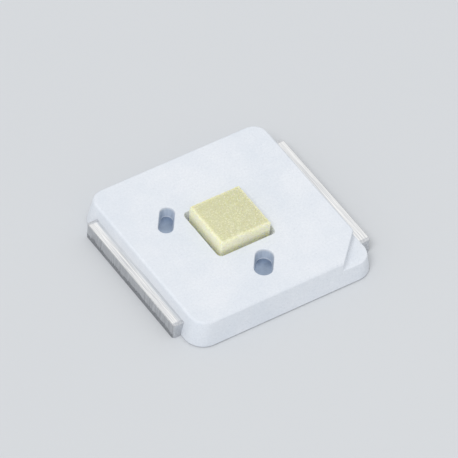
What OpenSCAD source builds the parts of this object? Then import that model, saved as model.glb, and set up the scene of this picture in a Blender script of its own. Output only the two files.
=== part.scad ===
// Surface-mount LED with a square white moulded body.
// Two half-etched leads interlock inside the moulding, and a flip chip under a phosphor cap
// stands on both of them in the window at the middle of the top face.
// Millimetres. +Z is up, and the origin is on the board plane under the centre of the body.
// The anode is on the -X side, and the cathode, marked by the cut corner, on the +X side.

/* [Moulded body] */
// Side of the square body at its foot
body_side = 3.5; // [3.3:0.05:4]
// Thickness of moulding over the leads
cover_t = 0.2; // [0.16:0.01:0.35]
// Draft of the outer walls in degrees
body_draft = 10; // [4:1:12]
// Corner radius at the foot
corner_r = 0.34; // [0.24:0.01:0.42]
// Bevel round the top edge
edge_bevel = 0.03; // [0.01:0.005:0.04]
// Height of the underside above the solder pads
standoff = 0.02; // [0.01:0.005:0.05]

/* [Polarity corner] */
// Length cut off each top edge at the cathode corner
notch_leg = 0.5; // [0.3:0.02:0.6]
// Thickness of moulding left over the lead under the cut
notch_cover = 0.04; // [0.03:0.01:0.08]

/* [Leads] */
// Thickness of the lead strip
lead_t = 0.3; // [0.2:0.01:0.4]
// Thickness left where the strip is etched from below
flange_t = 0.15; // [0.1:0.01:0.18]
// Gap between the two leads
lead_gap = 0.15; // [0.1:0.01:0.18]
// Sideways shift of the gap in front of and behind the chip
gap_jog = 0.3; // [0.28:0.01:0.4]
// Land between the chip window and the sideways run of the gap
gap_land = 0.02; // [0.01:0.01:0.05]
// Moulding outside the edge of the etched flange
flange_cover = 0.1; // [0.06:0.01:0.2]
// Cut across the outer corners of the flange
flange_cut = 0.4; // [0.3:0.02:0.5]
// Corner radius of the etched outlines
etch_r = 0.05; // [0.02:0.01:0.07]
// Width of each solder pad and of its side tab
pad_w = 2.6; // [2:0.05:2.8]
// Distance from the flange's inner edge back to the solder pad
pad_setback = 0.03; // [0:0.01:0.1]
// Reach of the side tabs past the foot of the body
tab_out = 0.15; // [0.05:0.01:0.25]
// Cut across one inner corner of the cathode pad
pad_index = 0.35; // [0.2:0.05:0.6]

/* [Chip and phosphor] */
// Side of the square flip chip
die_side = 0.75; // [0.6:0.01:0.85]
// Thickness of the flip chip
die_t = 0.2; // [0.1:0.01:0.25]
// Phosphor on each side of the chip
phosphor_side = 0.1; // [0.05:0.01:0.15]
// Phosphor over the chip
phosphor_t = 0.17; // [0.08:0.01:0.25]
// Bevel round the top edge of the phosphor
phosphor_bevel = 0.02; // [0.01:0.005:0.04]
// Thickness of the chip's solder joints
joint_t = 0.03; // [0.02:0.005:0.05]
// Distance from a lead's edge to the joint on it
joint_inset = 0.02; // [0.01:0.01:0.05]
// Distance from the chip's edge to its joints
joint_margin = 0.06; // [0.03:0.01:0.1]

/* [Windows in the moulding] */
// Gap round the phosphor at the floor of the chip window
window_clear = 0.05; // [0.03:0.01:0.08]
// Corner radius of the chip window at its floor
window_r = 0.06; // [0.03:0.01:0.1]
// Draft of all windows in degrees
window_draft = 8; // [4:1:12]
// Length of the hold-down pin windows at the floor
pin_length = 0.52; // [0.4:0.01:0.56]
// Width of the window over the anode lead
anode_pin_w = 0.2; // [0.16:0.01:0.24]
// Width of the window over the cathode lead
cathode_pin_w = 0.26; // [0.16:0.01:0.28]
// Turn of both windows from the X axis, in degrees
pin_turn = 53; // [45:1:60]
// Distance from the chip window to the anode's pin window
anode_pin_gap = 0.13; // [0.1:0.01:0.3]
// Distance of the anode's pin window behind the centre of the body
anode_pin_y = 0.56; // [0:0.01:0.9]
// Distance from the gap between the leads to the cathode's pin window
cathode_pin_gap = 0.07; // [0.02:0.01:0.15]
// Distance of the cathode's pin window to the right of the centre
cathode_pin_x = 0.01; // [0:0.01:0.6]

/* [Protection diode] */
// Length of the diode across the gap
diode_l = 0.46; // [0.4:0.01:0.6]
// Width of the diode
diode_w = 0.24; // [0.2:0.01:0.4]
// Thickness of the diode
diode_t = 0.11; // [0.06:0.01:0.11]
// Thickness of its solder joints
diode_joint_t = 0.015; // [0.01:0.005:0.02]
// Distance of the diode behind the centre of the body
diode_y = 1.15; // [1:0.05:1.25]

/* [Hidden] */

round_facets = 32;
// Overrun of a cutter past the face that it opens
cut_over = 0.1;

silver = [0.78, 0.79, 0.80];
white = [0.90, 0.92, 0.95];
solder_grey = [0.62, 0.64, 0.66];
sapphire = [0.62, 0.68, 0.74];
phosphor_yellow = [0.86, 0.82, 0.50];
silicon = [0.26, 0.27, 0.30];

// Body
body_top = lead_t + cover_t;
wall_h = body_top - edge_bevel - standoff;
wall_lean = wall_h * tan(body_draft);
corner_centre = body_side / 2 - corner_r;
top_half = body_side / 2 - wall_lean - edge_bevel;
notch_reach = (2 * top_half - notch_leg) / sqrt(2);
notch_z = lead_t + notch_cover;

// Chip
cap_side = die_side + 2 * phosphor_side;
chip_z = lead_t + joint_t;
cap_h = die_t + phosphor_t;
window_half = cap_side / 2 + window_clear;
window_lean = (cover_t + cut_over) * tan(window_draft);

// Leads
flange_half = body_side / 2 - (lead_t - standoff) * tan(body_draft) - flange_cover;
half_gap = lead_gap / 2;
jog_y = window_half + gap_land + half_gap;
pad_inner = gap_jog + half_gap + pad_setback;
tab_end = body_side / 2 + tab_out;

// Half the extent of a pin window along X and Y, at its floor
function pin_reach(width) = [
    (pin_length - width) / 2 * cos(pin_turn) + width / 2,
    (pin_length - width) / 2 * sin(pin_turn) + width / 2
];

// Centres of the pin windows, each over its own lead
anode_pin = [-(window_half + anode_pin_gap + pin_reach(anode_pin_w).x), anode_pin_y];
cathode_pin = [cathode_pin_x, -(jog_y + half_gap + cathode_pin_gap + pin_reach(cathode_pin_w).y)];

// Four cones whose hull is a square block with round corners and leaning walls
module corner_cones(half, r_foot, r_head, h) {
    for (x = [-half, half], y = [-half, half])
        translate([x, y, 0])
            cylinder(h = h, r1 = r_foot, r2 = r_head, $fn = round_facets);
}

module body_block() {
    r_wall = corner_r - wall_lean;
    hull() {
        translate([0, 0, standoff])
            corner_cones(corner_centre, corner_r, r_wall, wall_h);
        translate([0, 0, standoff + wall_h])
            corner_cones(corner_centre, r_wall, r_wall - edge_bevel, edge_bevel);
    }
}

// What is cut away above the ledge at the cathode corner
module polarity_notch() {
    rotate([0, 0, -45])
        translate([notch_reach, -body_side, notch_z])
            cube([body_side, 2 * body_side, body_top]);
}

module chip_window() {
    translate([0, 0, lead_t])
        hull()
            corner_cones(window_half - window_r, window_r, window_r + window_lean, cover_t + cut_over);
}

module pin_window(place, width) {
    translate([place.x, place.y, lead_t])
        rotate([0, 0, pin_turn])
            hull()
                for (side = [-1, 1])
                    translate([side * (pin_length - width) / 2, 0, 0])
                        cylinder(h = cover_t + cut_over, r1 = width / 2, r2 = width / 2 + window_lean,
                            $fn = round_facets);
}

// Rounds the outer and inner corners of an etched outline
module etched() {
    offset(r = etch_r, $fn = round_facets)
        offset(r = -2 * etch_r, $fn = round_facets)
            offset(r = etch_r, $fn = round_facets)
                children();
}

// Outline of the anode's flange, whose right edge steps round the chip window
module flange_outline() {
    etched()
        polygon([
            [-flange_half, -flange_half + flange_cut],
            [-flange_half + flange_cut, -flange_half],
            [-gap_jog - half_gap, -flange_half],
            [-gap_jog - half_gap, -jog_y + half_gap],
            [-half_gap, -jog_y + half_gap],
            [-half_gap, jog_y + half_gap],
            [gap_jog - half_gap, jog_y + half_gap],
            [gap_jog - half_gap, flange_half],
            [-flange_half + flange_cut, flange_half],
            [-flange_half, flange_half - flange_cut]
        ]);
}

// Outline of the full-thickness pad with its tab, on the anode side
module pad_outline(index_cut) {
    pad_half = pad_w / 2;
    etched()
        polygon([
            [-tab_end, -pad_half],
            [-pad_inner, -pad_half],
            [-pad_inner, pad_half - index_cut],
            [-pad_inner - index_cut, pad_half],
            [-tab_end, pad_half]
        ]);
}

module lead_form(index_cut) {
    translate([0, 0, lead_t - flange_t])
        linear_extrude(flange_t)
            flange_outline();
    linear_extrude(lead_t)
        pad_outline(index_cut);
}

// Flat joint on the lead at one side of a gap, from the lead's edge to the far end of a chip
module joint_form(gap_x, side, end, width, thickness) {
    start = half_gap + joint_inset;
    translate([gap_x + side * (start + end) / 2, 0, lead_t + thickness / 2])
        cube([end - start, width, thickness], center = true);
}

module die_joint(side) {
    reach = die_side / 2 - joint_margin;
    joint_form(0, side, reach, 2 * reach, joint_t);
}

module diode_joint(side) {
    translate([0, diode_y, 0])
        joint_form(gap_jog, side, diode_l / 2, diode_w, diode_joint_t);
}

module die_block() {
    translate([-die_side / 2, -die_side / 2, chip_z])
        cube([die_side, die_side, die_t]);
}

module cap_block() {
    straight_h = cap_h - phosphor_bevel;
    translate([-cap_side / 2, -cap_side / 2, chip_z])
        cube([cap_side, cap_side, straight_h]);
    translate([0, 0, chip_z + straight_h])
        linear_extrude(phosphor_bevel, scale = 1 - 2 * phosphor_bevel / cap_side)
            square(cap_side, center = true);
}

module diode_block() {
    translate([gap_jog - diode_l / 2, diode_y - diode_w / 2, lead_t + diode_joint_t])
        cube([diode_l, diode_w, diode_t]);
}

module anode_lead() {
    color(silver) lead_form(0);
}

module cathode_lead() {
    color(silver)
        rotate([0, 0, 180])
            lead_form(pad_index);
}

module moulded_body() {
    color(white)
        difference() {
            body_block();
            polarity_notch();
            chip_window();
            pin_window(anode_pin, anode_pin_w);
            pin_window(cathode_pin, cathode_pin_w);
            lead_form(0);
            rotate([0, 0, 180]) lead_form(pad_index);
            diode_block();
            diode_joint(-1);
            diode_joint(1);
        }
}

module anode_die_joint() {
    color(solder_grey) die_joint(-1);
}

module cathode_die_joint() {
    color(solder_grey) die_joint(1);
}

module led_die() {
    color(sapphire) die_block();
}

module phosphor_cap() {
    color(phosphor_yellow)
        difference() {
            cap_block();
            die_block();
        }
}

module protection_diode() {
    color(silicon) diode_block();
}

module anode_diode_joint() {
    color(solder_grey) diode_joint(-1);
}

module cathode_diode_joint() {
    color(solder_grey) diode_joint(1);
}

anode_lead();
cathode_lead();
moulded_body();
anode_die_joint();
cathode_die_joint();
led_die();
phosphor_cap();
protection_diode();
anode_diode_joint();
cathode_diode_joint();
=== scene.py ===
import math

import bmesh
import bpy
from mathutils import Matrix, Vector


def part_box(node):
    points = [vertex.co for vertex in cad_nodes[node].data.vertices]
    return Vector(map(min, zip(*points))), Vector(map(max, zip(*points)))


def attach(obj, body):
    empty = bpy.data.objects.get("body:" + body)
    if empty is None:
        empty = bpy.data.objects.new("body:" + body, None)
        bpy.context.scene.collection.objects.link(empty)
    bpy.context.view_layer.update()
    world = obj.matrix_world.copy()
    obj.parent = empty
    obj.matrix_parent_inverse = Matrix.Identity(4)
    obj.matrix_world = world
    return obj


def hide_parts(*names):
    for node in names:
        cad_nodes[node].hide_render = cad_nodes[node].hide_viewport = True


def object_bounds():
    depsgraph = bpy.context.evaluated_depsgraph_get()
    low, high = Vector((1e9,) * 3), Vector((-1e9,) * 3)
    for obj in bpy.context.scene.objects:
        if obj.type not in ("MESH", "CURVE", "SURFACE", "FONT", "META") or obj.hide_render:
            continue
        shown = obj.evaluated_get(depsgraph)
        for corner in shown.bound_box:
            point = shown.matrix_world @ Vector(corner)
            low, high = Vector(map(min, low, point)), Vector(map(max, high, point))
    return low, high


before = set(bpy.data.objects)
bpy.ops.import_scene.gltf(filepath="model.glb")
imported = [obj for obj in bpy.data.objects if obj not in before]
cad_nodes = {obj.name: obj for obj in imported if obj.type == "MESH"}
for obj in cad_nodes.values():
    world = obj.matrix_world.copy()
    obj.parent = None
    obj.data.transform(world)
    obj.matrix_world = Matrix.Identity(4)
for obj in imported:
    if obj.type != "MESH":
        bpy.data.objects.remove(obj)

cad_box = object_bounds()


# Leads. Two flat leads, etched out of one copper strip and silver plated before the moulding went round them.
# The solder pads are bare underneath, and a tab of each lead stands out at the side of the moulding,
# where it was sheared off the strip. Sizes are in millimetres, which MM turns into the frame's metres.
MM = 0.001
MERGE_GAP = 1e-4
FLAT_ANGLE = math.radians(1)
SHARP_ANGLE = math.radians(25)
CREASE_ANGLE = math.radians(35)
RIM_SEGMENTS = 3
NOISE_RANGE = (0.35, 0.65)
WIDE_NOISE_RANGE = (0.3, 0.7)

PLATED_EDGE = 0.016
PLATE_SKIN = 0.03
CHIP_BORDER = 0.1
PIN_FADE = 0.04
BRIGHT_TO_DEPTH = 0.09
PRESSED_AND_SHADED_FROM_DEPTH = 0.15
TORN_LEAST = 0.2        # share of the strip's thickness
TORN_MOST = 0.5
TEAR_BLUR = 0.02


def paint(red, green, blue):
    """A screen colour, 0 to 255, as the linear colour that a shader takes."""
    def linear(level):
        share = level / 255
        return share / 12.92 if share <= 0.04045 else ((share + 0.055) / 1.055) ** 2.4
    return (linear(red), linear(green), linear(blue), 1.0)


def millimetre_copy(node):
    """A CAD node's mesh with whole faces, in millimetres, since bmesh works too coarsely on it in metres."""
    bm = bmesh.new()
    bm.from_mesh(cad_nodes[node].data)
    bmesh.ops.scale(bm, vec=Vector((1, 1, 1)) / MM, verts=bm.verts)
    bmesh.ops.remove_doubles(bm, verts=bm.verts, dist=MERGE_GAP)
    bmesh.ops.dissolve_limit(bm, angle_limit=FLAT_ANGLE, verts=bm.verts, edges=bm.edges)
    return bm


def round_off(bm, wanted, radius):
    """Rounds the edges between faces that meet at a real corner, where wanted(middle of the edge) holds."""
    edges = []
    for edge in bm.edges:
        middle = (edge.verts[0].co + edge.verts[1].co) / 2
        if edge.is_manifold and edge.calc_face_angle() > SHARP_ANGLE and wanted(middle):
            edges.append(edge)
    bmesh.ops.bevel(bm, geom=edges, offset=radius, offset_type="OFFSET", affect="EDGES",
                    segments=RIM_SEGMENTS, profile=0.5, material=-1, clamp_overlap=True)


def stand_in(name, bm, material, node):
    """Makes a bmesh in millimetres a piece in metres, which stands for its CAD node."""
    bmesh.ops.scale(bm, vec=Vector((1, 1, 1)) * MM, verts=bm.verts)
    mesh = bpy.data.meshes.new(name)
    bm.to_mesh(mesh)
    bm.free()
    mesh.materials.append(material)
    mesh.shade_smooth()
    mesh.set_sharp_from_angle(angle=CREASE_ANGLE)
    piece = bpy.data.objects.new(name, mesh)
    bpy.context.scene.collection.objects.link(piece)
    piece.modifiers.new("even_shading", "WEIGHTED_NORMAL").keep_sharp = True
    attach(piece, "root")
    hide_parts(node)


def new_material(name):
    material = bpy.data.materials.new(name)
    material.use_nodes = True
    tree = material.node_tree
    return material, tree, tree.nodes["Principled BSDF"]


def connect(tree, value, socket):
    """Links an output to a socket, or sets the socket to a plain value."""
    if isinstance(value, bpy.types.NodeSocket):
        tree.links.new(value, socket)
    else:
        socket.default_value = value


def add(tree, kind, inputs=None, **settings):
    """A new node with its settings, and with values or links on its named inputs."""
    node = tree.nodes.new(kind)
    for name, value in settings.items():
        setattr(node, name, value)
    for name, value in (inputs or {}).items():
        connect(tree, value, node.inputs[name])
    return node


def millimetres(tree, stretch=(1, 1, 1)):
    """Object coordinates in millimetres, so that a texture's scale counts its features in each millimetre."""
    coords = add(tree, "ShaderNodeTexCoord")
    inputs = {"Vector": coords.outputs["Object"], "Scale": [share / MM for share in stretch]}
    return add(tree, "ShaderNodeMapping", inputs).outputs["Vector"]


def axes(tree, points):
    return add(tree, "ShaderNodeSeparateXYZ", {"Vector": points}).outputs


def noise(tree, points, per_mm, detail=2.0, roughness=0.5):
    inputs = {"Vector": points, "Scale": per_mm, "Detail": detail, "Roughness": roughness}
    return add(tree, "ShaderNodeTexNoise", inputs).outputs["Fac"]


def streaks(tree, per_mm, detail, roughness=0.5):
    """Noise with its own number of features in each millimetre along X, Y and Z."""
    return noise(tree, millimetres(tree, per_mm), 1.0, detail, roughness)


def spread(tree, value, low, high, to_low=0.0, to_high=1.0):
    """Maps low..high to to_low..to_high and holds it there outside."""
    inputs = {"Value": value, "From Min": low, "From Max": high, "To Min": to_low, "To Max": to_high}
    return add(tree, "ShaderNodeMapRange", inputs, clamp=True).outputs["Result"]


def reckon(tree, operation, first, second=0.0):
    node = add(tree, "ShaderNodeMath", operation=operation)
    connect(tree, first, node.inputs[0])
    connect(tree, second, node.inputs[1])
    return node.outputs[0]


def both(tree, first, second):
    return reckon(tree, "MULTIPLY", first, second)


def either(tree, first, second):
    return reckon(tree, "MAXIMUM", first, second)


def from_middle(tree, x, y):
    """Distance from the middle of the part, counted along X or Y, whichever is more."""
    return either(tree, reckon(tree, "ABSOLUTE", x), reckon(tree, "ABSOLUTE", y))


def mix_colours(tree, share, first, second):
    node = add(tree, "ShaderNodeMix", data_type="RGBA")
    connect(tree, share, node.inputs["Factor"])
    connect(tree, first, node.inputs[6])
    connect(tree, second, node.inputs[7])
    return node.outputs[2]


def relief(tree, height, depth_mm):
    return add(tree, "ShaderNodeBump", {"Height": height, "Distance": depth_mm * MM}).outputs["Normal"]


tab_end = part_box("cathode_lead")[1].x / MM
strip_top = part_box("cathode_lead")[1].z / MM
wall_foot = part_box("moulded_body")[1].x / MM
lead_points = [point.co / MM for point in cad_nodes["cathode_lead"].data.vertices]
tab_half = max(abs(at.y) for at in lead_points if at.x > tab_end - MERGE_GAP)
pins_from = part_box("phosphor_cap")[1].x / MM + CHIP_BORDER


def silver_plate():
    material, tree, shader = new_material("silver_plate")
    points = millimetres(tree)
    x, y, z = axes(tree, points)
    out_x = reckon(tree, "ABSOLUTE", x)
    out_y = reckon(tree, "ABSOLUTE", y)
    cloud = spread(tree, noise(tree, points, per_mm=6, detail=4, roughness=0.6), *NOISE_RANGE)
    grit = spread(tree, noise(tree, points, per_mm=38, detail=3, roughness=0.6), *NOISE_RANGE)

    # Rolled along the strip, on every face that nothing else has worked.
    rolled = streaks(tree, (34, 1, 34), detail=4, roughness=0.65)
    colour = mix_colours(tree, spread(tree, rolled, 0.36, 0.66), paint(248, 248, 247), paint(208, 210, 213))

    # Pressed dull where the pins of the mould held the top, but bright in the chip window; its dark bluish
    # grey is also painted shade of the deep pin windows.
    pressed_dull_and_painted_shade = mix_colours(tree, cloud, paint(174, 188, 207), paint(154, 168, 187))
    off_chip = spread(tree, from_middle(tree, x, y), pins_from, pins_from + PIN_FADE)
    within_walls = spread(tree, out_x, wall_foot - BRIGHT_TO_DEPTH, wall_foot - PRESSED_AND_SHADED_FROM_DEPTH)
    on_top = spread(tree, z, strip_top - 2 * PLATE_SKIN, strip_top - PLATE_SKIN)
    under_pins = both(tree, both(tree, off_chip, within_walls), on_top)
    colour = mix_colours(tree, under_pins, colour, pressed_dull_and_painted_shade)

    # Etched matte on the two narrow sides of each tab.
    etched = mix_colours(tree, grit, paint(216, 218, 221), paint(194, 196, 200))
    etched_side = spread(tree, out_y, tab_half - PLATED_EDGE, tab_half - PLATED_EDGE / 2)
    colour = mix_colours(tree, etched_side, colour, etched)

    # Sheared at the end of the tab, with drag marks above and a ragged torn band below.
    drag = streaks(tree, (1, 46, 3), detail=4, roughness=0.6)
    dragged = mix_colours(tree, spread(tree, drag, *NOISE_RANGE), paint(210, 211, 213), paint(176, 178, 181))
    torn_out = mix_colours(tree, grit, paint(172, 174, 177), paint(138, 140, 144))
    ragged = reckon(tree, "ADD", noise(tree, points, per_mm=7, detail=3), drag)
    two_noises = [2 * end for end in NOISE_RANGE]
    tear_height = spread(tree, ragged, *two_noises, TORN_LEAST * strip_top, TORN_MOST * strip_top)
    torn = spread(tree, reckon(tree, "SUBTRACT", z, tear_height), TEAR_BLUR, -TEAR_BLUR / 2)
    cut_face = spread(tree, out_x, tab_end - PLATED_EDGE, tab_end - PLATED_EDGE / 2)
    colour = mix_colours(tree, cut_face, colour, mix_colours(tree, torn, dragged, torn_out))
    connect(tree, colour, shader.inputs["Base Color"])

    torn_face = both(tree, torn, cut_face)
    dull = either(tree, either(tree, under_pins, etched_side), torn_face)
    sheen = spread(tree, rolled, *WIDE_NOISE_RANGE, 0.16, 0.26)
    roughness = reckon(tree, "ADD", sheen, reckon(tree, "MULTIPLY", dull, 0.25))
    connect(tree, roughness, shader.inputs["Roughness"])
    rolled_face = reckon(tree, "SUBTRACT", 1.0, either(tree, etched_side, cut_face))
    height = both(tree, rolled, reckon(tree, "MULTIPLY", rolled_face, 0.6))
    fine_grain = noise(tree, points, per_mm=70)
    height = reckon(tree, "ADD", height, reckon(tree, "MULTIPLY", fine_grain, 0.4))
    height = reckon(tree, "ADD", height, both(tree, drag, cut_face))
    height = reckon(tree, "ADD", height, both(tree, grit, torn_face))
    connect(tree, relief(tree, height, depth_mm=0.0012), shader.inputs["Normal"])
    shader.inputs["Metallic"].default_value = 1.0
    return material


def on_lead_rim(at):
    return at.z > strip_top - MERGE_GAP or at.z < MERGE_GAP


plate = silver_plate()
for lead in ("anode_lead", "cathode_lead"):
    lead_mesh = millimetre_copy(lead)
    round_off(lead_mesh, on_lead_rim, PLATED_EDGE)
    stand_in(lead + "_plated", lead_mesh, plate, lead)


# Protection diode. A small silicon chip, soldered across the gap between the leads before the moulding.
# It and its two flat joints lie buried behind the chip window and never show, so they keep their CAD shapes.
CRYSTALS_PER_MM = 26


def give_finish(node, material):
    for place in cad_nodes[node].material_slots:
        place.material = material


def sawn_silicon():
    material, tree, shader = new_material("sawn_silicon")
    cloud = noise(tree, millimetres(tree), per_mm=12, detail=3)
    colour = mix_colours(tree, cloud, paint(70, 72, 80), paint(96, 98, 106))
    connect(tree, colour, shader.inputs["Base Color"])
    saw_lines = streaks(tree, (6, 6, 90), detail=3)
    connect(tree, spread(tree, saw_lines, *WIDE_NOISE_RANGE, 0.25, 0.45), shader.inputs["Roughness"])
    connect(tree, relief(tree, saw_lines, depth_mm=0.001), shader.inputs["Normal"])
    shader.inputs["Metallic"].default_value = 0.3
    return material


def reflowed_solder():
    material, tree, shader = new_material("reflowed_solder")
    crystals = add(tree, "ShaderNodeTexVoronoi", {"Vector": millimetres(tree), "Scale": CRYSTALS_PER_MM})
    outward = crystals.outputs["Distance"]
    colour = mix_colours(tree, spread(tree, outward, 0.1, 0.7), paint(176, 178, 180), paint(150, 152, 154))
    connect(tree, colour, shader.inputs["Base Color"])
    connect(tree, spread(tree, outward, 0.1, 0.7, 0.3, 0.5), shader.inputs["Roughness"])
    connect(tree, relief(tree, outward, depth_mm=0.002), shader.inputs["Normal"])
    shader.inputs["Metallic"].default_value = 1.0
    return material


solder = reflowed_solder()
give_finish("protection_diode", sawn_silicon())
give_finish("anode_diode_joint", solder)
give_finish("cathode_diode_joint", solder)


# Moulded body. One block of white filled plastic, moulded round both leads in a single shot.
# Its walls lean in for the mould, which is spark-eroded and leaves a fine matte grain with soft rims.
# The walls of the two windows left by the pins that held the leads carry painted shade, a streaked bluish
# grey.
BODY_RIM = 0.018
FOOT_RIM = 0.01
FOOT_REACH = 0.12
PLAIN_BORDER = 0.45
STAIN_FULL_DEPTH = 0.06
STAIN_FULL_HEIGHT = 0.03

body_low, body_high = (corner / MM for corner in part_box("moulded_body"))
pins_to = body_high.x - PLAIN_BORDER


def white_moulding():
    material, tree, shader = new_material("white_moulding")
    points = millimetres(tree)
    x, y, z = axes(tree, points)
    fleck = paint(200, 206, 216)
    tone = spread(tree, noise(tree, points, per_mm=1.3, detail=4, roughness=0.6), *NOISE_RANGE)
    grit = spread(tree, noise(tree, points, per_mm=26, detail=3, roughness=0.7), *NOISE_RANGE, 0.0, 0.22)
    flecks = spread(tree, noise(tree, points, per_mm=42), 0.36, 0.28, 0.0, 0.45)
    colour = mix_colours(tree, tone, paint(226, 232, 240), paint(235, 239, 245))
    colour = mix_colours(tree, grit, colour, fleck)
    colour = mix_colours(tree, flecks, colour, fleck)

    # Painted shade: a streaked bluish grey on the walls of the two pin windows, below the rim and above the
    # leads.
    shade_streaks = spread(tree, streaks(tree, (24, 24, 2), detail=3), *NOISE_RANGE)
    pin_wall_painted_shade = mix_colours(tree, shade_streaks, paint(202, 213, 228), paint(184, 196, 212))
    outward = from_middle(tree, x, y)
    beyond_chip = spread(tree, outward, pins_from, pins_from + PIN_FADE)
    within_border = spread(tree, outward, pins_to + PIN_FADE, pins_to)
    below_rim = spread(tree, z, body_high.z - BODY_RIM, body_high.z - STAIN_FULL_DEPTH)
    above_leads = spread(tree, z, strip_top, strip_top + STAIN_FULL_HEIGHT)
    pin_wall_shade_mask = both(tree, both(tree, beyond_chip, within_border), both(tree, below_rim, above_leads))
    colour = mix_colours(tree, pin_wall_shade_mask, colour, pin_wall_painted_shade)
    connect(tree, colour, shader.inputs["Base Color"])

    gloss_patches = noise(tree, points, per_mm=8, detail=3)
    connect(tree, spread(tree, gloss_patches, *WIDE_NOISE_RANGE, 0.44, 0.6), shader.inputs["Roughness"])
    eroded = noise(tree, points, per_mm=26, detail=4, roughness=0.65)
    connect(tree, relief(tree, eroded, depth_mm=0.006), shader.inputs["Normal"])
    return material


def over_the_strip(at):
    return at.z > strip_top + MERGE_GAP


def at_outer_foot(at):
    return at.z < body_low.z + MERGE_GAP and max(abs(at.x), abs(at.y)) > body_high.x - FOOT_REACH


body_mesh = millimetre_copy("moulded_body")
round_off(body_mesh, over_the_strip, BODY_RIM)
round_off(body_mesh, at_outer_foot, FOOT_RIM)
stand_in("moulding", body_mesh, white_moulding(), "moulded_body")


# Flip chip. A square sapphire die with its contacts below, where two flat joints solder it to both leads.
# The phosphor covers all of it but its underside, so it keeps its CAD shape.
def cut_sapphire():
    material, tree, shader = new_material("cut_sapphire")
    cloud = noise(tree, millimetres(tree), per_mm=6)
    colour = mix_colours(tree, cloud, paint(150, 164, 176), paint(172, 184, 194))
    connect(tree, colour, shader.inputs["Base Color"])
    cut_marks = streaks(tree, (60, 60, 8), detail=3)
    connect(tree, spread(tree, cut_marks, *WIDE_NOISE_RANGE, 0.12, 0.4), shader.inputs["Roughness"])
    connect(tree, relief(tree, cut_marks, depth_mm=0.001), shader.inputs["Normal"])
    shader.inputs["IOR"].default_value = 1.77
    return material


give_finish("led_die", cut_sapphire())
give_finish("anode_die_joint", solder)
give_finish("cathode_die_joint", solder)


# Phosphor cap. Silicone filled with yellow phosphor grains, moulded over the die and sawn square.
# Its thin top over the dark die looks more olive than its thicker, brighter sides.
CAP_RIM = 0.008
RIM_REACH = 0.05
GRAINS_PER_MM = 66
SHADE_FULL_PAST_DIE = 0.04
SHADE_ENDS_PAST_DIE = 0.12
SHADE_WANDER = 0.03
SHADE_FADE_DEPTH = 0.05
SHADE_FULL_DEPTH = 0.015

die_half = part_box("led_die")[1].x / MM
cap_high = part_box("phosphor_cap")[1] / MM


def phosphor_silicone():
    material, tree, shader = new_material("phosphor_silicone")
    points = millimetres(tree)
    x, y, z = axes(tree, points)
    wander = spread(tree, noise(tree, points, per_mm=9, detail=3), 0, 1, -SHADE_WANDER, SHADE_WANDER)
    outward = reckon(tree, "ADD", from_middle(tree, x, y), wander)
    over_die = spread(tree, outward, die_half + SHADE_ENDS_PAST_DIE, die_half + SHADE_FULL_PAST_DIE)
    on_top = spread(tree, z, cap_high.z - SHADE_FADE_DEPTH, cap_high.z - SHADE_FULL_DEPTH)
    colour = mix_colours(tree, both(tree, over_die, on_top), paint(252, 250, 219), paint(213, 213, 174))

    grains = add(tree, "ShaderNodeTexVoronoi", {"Vector": points, "Scale": GRAINS_PER_MM})
    kind = add(tree, "ShaderNodeSeparateColor", {"Color": grains.outputs["Color"]}).outputs["Red"]
    pale_grains = spread(tree, kind, 0.72, 0.95, 0.0, 0.5)
    deep_grains = spread(tree, kind, 0.28, 0.05, 0.0, 0.34)
    colour = mix_colours(tree, pale_grains, colour, paint(250, 248, 222))
    colour = mix_colours(tree, deep_grains, colour, paint(200, 192, 128))
    connect(tree, colour, shader.inputs["Base Color"])

    gloss_patches = noise(tree, points, per_mm=20, detail=3)
    connect(tree, spread(tree, gloss_patches, *WIDE_NOISE_RANGE, 0.42, 0.62), shader.inputs["Roughness"])
    bumps = reckon(tree, "SUBTRACT", 1.0, grains.outputs["Distance"])
    connect(tree, relief(tree, bumps, depth_mm=0.004), shader.inputs["Normal"])
    shader.inputs["Subsurface Weight"].default_value = 0.6
    shader.inputs["Subsurface Radius"].default_value = (1.0, 0.9, 0.35)
    shader.inputs["Subsurface Scale"].default_value = 0.12 * MM
    return material


def on_cap_sides(at):
    return max(abs(at.x), abs(at.y)) > cap_high.x - RIM_REACH


cap_mesh = millimetre_copy("phosphor_cap")
round_off(cap_mesh, on_cap_sides, CAP_RIM)
stand_in("phosphor_coat", cap_mesh, phosphor_silicone(), "phosphor_cap")


# Studio. A plain pale grey floor, on which the part rests on its two solder pads.
# The light is a soft sun high at the left front, kept out of reflections so that no metal glares,
# and an even white sky, dimmer on the part than it looks.
FLOOR_HALF = 0.3
SUN_STRENGTH = 1.25
SUN_WIDTH = math.radians(30)
SUN_FROM = Vector((-0.55, -0.32, 1.0))
SKY_STRENGTH = 0.68


def pale_floor():
    material, tree, shader = new_material("pale_floor")
    cloud = noise(tree, millimetres(tree), per_mm=0.05, detail=3)
    colour = mix_colours(tree, cloud, paint(211, 214, 218), paint(216, 219, 222))
    connect(tree, colour, shader.inputs["Base Color"])
    shader.inputs["Roughness"].default_value = 0.9
    shader.inputs["Specular IOR Level"].default_value = 0.1
    return material


floor_shape = bmesh.new()
bmesh.ops.create_grid(floor_shape, x_segments=1, y_segments=1, size=FLOOR_HALF)
floor_mesh = bpy.data.meshes.new("floor")
floor_shape.to_mesh(floor_mesh)
floor_shape.free()
floor_mesh.materials.append(pale_floor())
floor = bpy.data.objects.new("floor", floor_mesh)
bpy.context.scene.collection.objects.link(floor)

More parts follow.
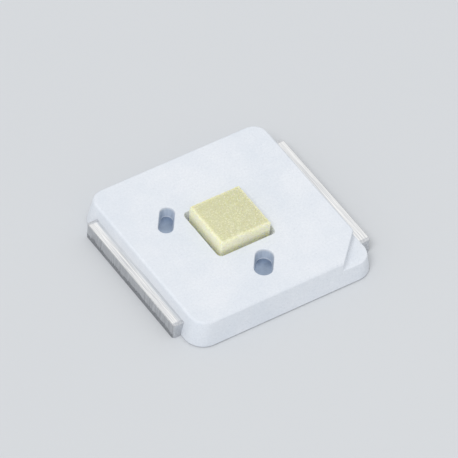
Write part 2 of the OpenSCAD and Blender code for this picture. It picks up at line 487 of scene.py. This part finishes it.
sun_light = bpy.data.lights.new("sun", "SUN")
sun_light.energy = SUN_STRENGTH
sun_light.angle = SUN_WIDTH
sun = bpy.data.objects.new("sun", sun_light)
sun.rotation_euler = SUN_FROM.to_track_quat("Z", "Y").to_euler()
sun.visible_glossy = False
bpy.context.scene.collection.objects.link(sun)

world = bpy.data.worlds.new("sky")
world.use_nodes = True
sky = world.node_tree
rays = add(sky, "ShaderNodeLightPath").outputs
seen = either(sky, either(sky, rays["Is Camera Ray"], rays["Is Glossy Ray"]), rays["Is Transmission Ray"])
backdrop = sky.nodes["Background"]
backdrop.inputs["Color"].default_value = (1, 1, 1, 1)
connect(sky, spread(sky, seen, 0, 1, SKY_STRENGTH, 1.0), backdrop.inputs["Strength"])
bpy.context.scene.world = world


# Camera. A long lens at the photograph's viewing angle, from the left front and looking down by 47 degrees.
# It is rolled a little, as the photograph is.
CAMERA_AZIMUTH = math.radians(-36.8)
CAMERA_ELEVATION = math.radians(46.9)
CAMERA_ROLL = math.radians(4.95)
CAMERA_DISTANCE = 0.1
FRAME_WIDTH = 0.0074
SENSOR_WIDTH = 36.0

aside = math.sin(CAMERA_AZIMUTH) * math.cos(CAMERA_ELEVATION)
ahead = -math.cos(CAMERA_AZIMUTH) * math.cos(CAMERA_ELEVATION)
back = Vector((aside, ahead, math.sin(CAMERA_ELEVATION)))
level_right = Vector((0, 0, 1)).cross(back).normalized()
right = Matrix.Rotation(CAMERA_ROLL, 3, back) @ level_right
up = back.cross(right)
target = (cad_box[0] + cad_box[1]) / 2

lens = bpy.data.cameras.new("camera")
lens.sensor_width = SENSOR_WIDTH
lens.lens = SENSOR_WIDTH * CAMERA_DISTANCE / FRAME_WIDTH
lens.clip_start = CAMERA_DISTANCE / 10
lens.clip_end = CAMERA_DISTANCE * 10
camera = bpy.data.objects.new("camera", lens)
place = Matrix.Translation(target + back * CAMERA_DISTANCE)
turn = Matrix((right, up, back)).transposed().to_4x4()
camera.matrix_world = place @ turn
bpy.context.scene.collection.objects.link(camera)
bpy.context.scene.camera = camera

bpy.context.scene.view_settings.view_transform = "Standard"
